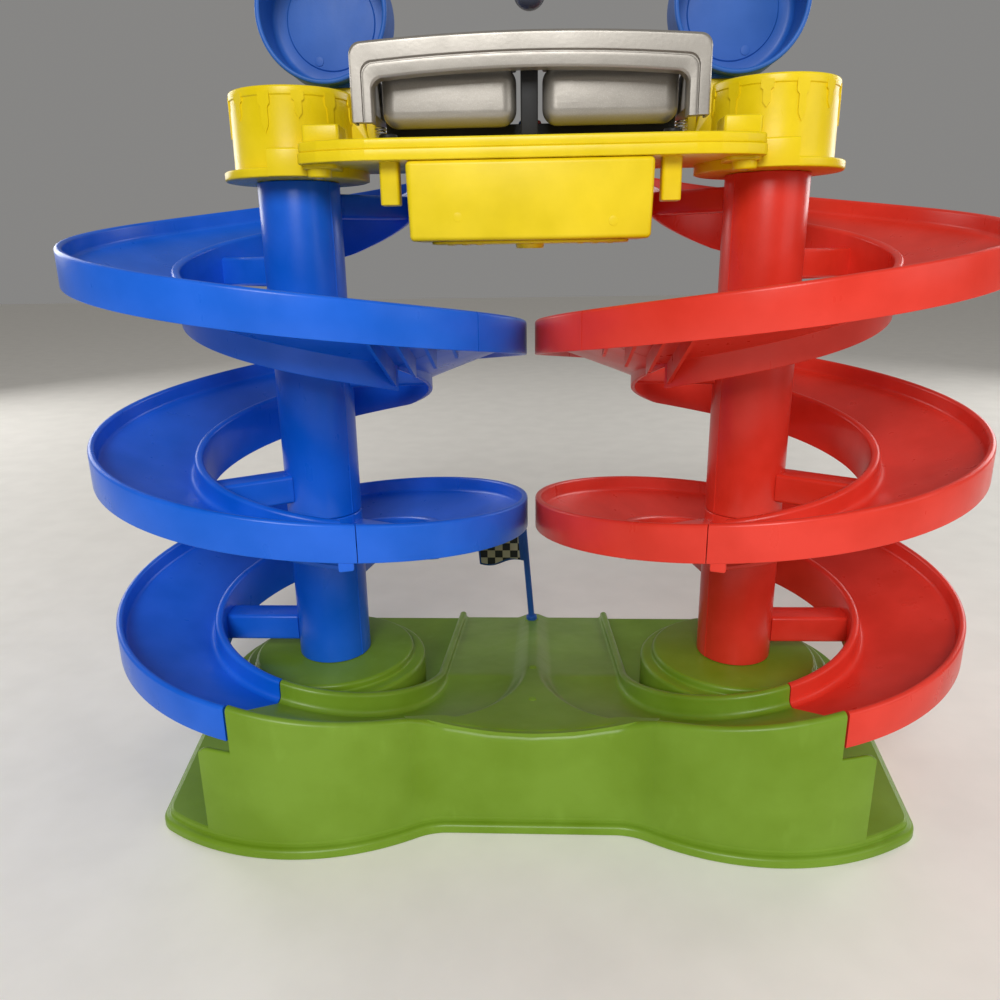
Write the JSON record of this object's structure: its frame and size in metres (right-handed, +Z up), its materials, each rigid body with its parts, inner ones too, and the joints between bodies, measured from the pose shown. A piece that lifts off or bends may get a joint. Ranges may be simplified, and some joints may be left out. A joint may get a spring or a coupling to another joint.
{
  "type": "toy spiral car ramp",
  "caption": "Free-standing toy race tower: mirrored spiral ramps on hollow columns over a moulded base, with a start deck, press-down start lever, swinging launch pads and round signs.",
  "frame": {"origin": "centre of the overall box at floor level, midway between the towers", "axes": "+X across the towers toward the red one, +Y toward the lane exits, +Z up; the battery box and lever bar are on the -Y side"},
  "size_m": [0.545, 0.303, 0.4916],
  "materials": {
    "base_green": "semi-gloss moulded plastic",
    "ramp_blue": "glossy moulded plastic",
    "ramp_red": "glossy moulded plastic",
    "deck_yellow": "glossy moulded plastic",
    "lever_silver": "satin silver plastic with fine flake",
    "frame_black": "satin black plastic",
    "sign_blue": "glossy moulded plastic",
    "lamp_slate": "glossy moulded plastic",
    "flag_blue": "glossy moulded plastic",
    "flag_check": "printed checkered label",
    "steel": "bright zinc-plated steel",
    "cell_wrap": "plain wrapped battery cell",
    "board_green": "bare circuit board",
    "speaker_black": "speaker basket and magnet"
  },
  "bodies": {
    "stand": {"base": "base_green", "blue_ramp_upper": "ramp_blue", "blue_ramp_middle": "ramp_blue", "blue_ramp_lower": "ramp_blue", "red_ramp_upper": "ramp_red", "red_ramp_middle": "ramp_red", "red_ramp_lower": "ramp_red", "left_tower_cap": "deck_yellow", "right_tower_cap": "deck_yellow", "deck": "deck_yellow", "deck_screws": "steel", "battery_box": "deck_yellow", "box_screws": "steel", "battery_door": "deck_yellow", "door_screw": "steel", "battery_cells": "cell_wrap", "contact_plates": "steel", "circuit_board": "board_green", "speaker": "speaker_black", "launcher_frame": "frame_black", "launcher_screws": "steel", "pad_axle": "steel", "lever_pins": "steel", "lever_springs": "steel", "left_sign": "sign_blue", "right_sign": "sign_blue", "gantry_bar": "sign_blue", "start_lamp": "lamp_slate", "flag": "flag_blue", "flag_labels": "flag_check"},
    "start_lever": {"start_lever": "lever_silver"},
    "left_pad": {"left_launch_pad": "lever_silver"},
    "right_pad": {"right_launch_pad": "lever_silver"}
  },
  "joints": [
    {"name": "lever_press", "type": "hinge", "parent": "stand", "child": "start_lever", "pos_m": [0, -0.0085, 0.40253], "axis": [1, 0, 0], "range_deg": [0, 4.5], "stiffness_Nm_per_rad": 1.5, "springref_deg": -5.73, "deforming": ["lever_springs"]},
    {"name": "left_pad_swing", "type": "hinge", "parent": "stand", "child": "left_pad", "pos_m": [-0.0405, -0.0545, 0.41953], "axis": [1, 0, 0], "range_deg": [0, 22.5]},
    {"name": "right_pad_swing", "type": "hinge", "parent": "stand", "child": "right_pad", "pos_m": [0.0405, -0.0545, 0.41953], "axis": [1, 0, 0], "range_deg": [0, 22.5]}
  ],
  "couplings": [
    {"joint": "left_pad_swing", "follows": "lever_press", "ratio": 5},
    {"joint": "right_pad_swing", "follows": "lever_press", "ratio": 5}
  ]
}
